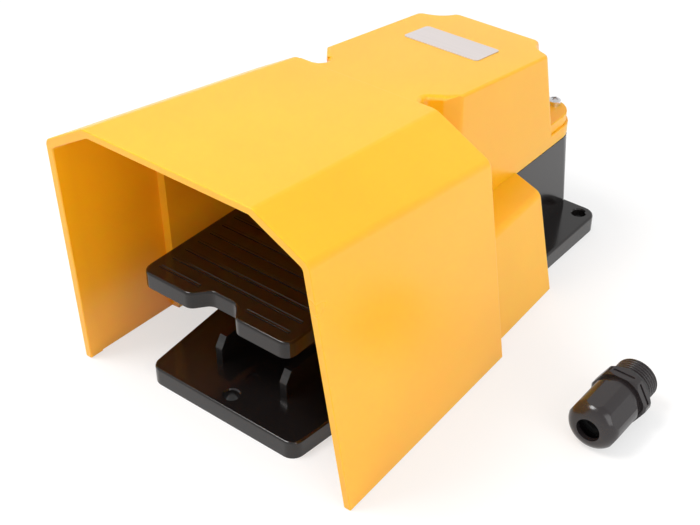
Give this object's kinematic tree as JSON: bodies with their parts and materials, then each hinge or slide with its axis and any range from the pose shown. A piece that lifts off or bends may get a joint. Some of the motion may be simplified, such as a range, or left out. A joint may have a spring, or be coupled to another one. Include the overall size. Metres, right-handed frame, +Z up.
{
  "type": "foot switch",
  "caption": "Guarded industrial foot switch: a yellow hooded cover over a black base with a ribbed pedal, a snap switch inside and a loose cable gland.",
  "frame": {"origin": "midway between the two rear fixing holes, on the floor plane", "axes": "+X to the user's right as they face the pedal opening's far side, +Y to the rear, away from the opening, +Z up"},
  "size_m": [0.2255, 0.2511, 0.1389],
  "materials": {
    "cover_yellow": "gloss",
    "base_black": "gloss",
    "pedal_black": "satin",
    "gasket_rubber": "matte",
    "label_silver": "satin",
    "steel": "satin",
    "zinc_steel": "satin",
    "spring_steel": "satin",
    "bush_nylon": "satin",
    "switch_body": "matte",
    "plunger_red": "satin",
    "brass": "satin",
    "gland_black": "satin"
  },
  "bodies": {
    "housing": {"base_housing": "base_black", "hood_cover": "cover_yellow", "cover_gasket": "gasket_rubber", "cover_screws": "zinc_steel", "label_plate": "label_silver", "shaft_bushes": "bush_nylon", "shaft_seals": "gasket_rubber", "return_spring": "spring_steel", "rest_buffer": "gasket_rubber", "switch_bracket": "zinc_steel", "bracket_screws": "zinc_steel", "switch_case": "switch_body", "switch_lid": "switch_body", "common_terminal": "brass", "open_terminal": "brass", "closed_terminal": "brass", "terminal_screws": "zinc_steel", "switch_screws": "zinc_steel", "switch_nuts": "zinc_steel", "earth_screw": "zinc_steel", "gland_body": "gland_black", "gland_nut": "gland_black", "gland_seal": "gasket_rubber", "gland_washer": "gasket_rubber"},
    "pedal_set": {"pedal": "pedal_black", "pivot_shaft": "steel", "shaft_clips": "spring_steel", "cam_lever": "zinc_steel", "lever_pin": "steel", "adjusting_screw": "zinc_steel", "adjusting_nut": "zinc_steel"},
    "plunger": {"switch_plunger": "plunger_red"},
    "moving_contact": {"contact_blade": "brass"}
  },
  "joints": [
    {"name": "pedal_press", "type": "hinge", "parent": "housing", "child": "pedal_set", "pos_m": [0, -0.072, 0.038], "axis": [1, 0, 0], "range_deg": [0, 14], "stiffness_Nm_per_rad": 3.5, "springref_deg": -22.92, "deforming": ["return_spring"]},
    {"name": "plunger_push", "type": "slide", "parent": "housing", "child": "plunger", "axis": [0, 0, 1], "range_m": [0, 0.0024]},
    {"name": "contact_swing", "type": "hinge", "parent": "housing", "child": "moving_contact", "pos_m": [0, -0.0844, 0.0553], "axis": [1, 0, 0], "range_deg": [0, 5.9]}
  ],
  "couplings": [
    {"joint": "plunger_push", "follows": "pedal_press", "m_per_rad": 0.0096},
    {"joint": "contact_swing", "follows": "pedal_press", "ratio": 0.4178}
  ]
}
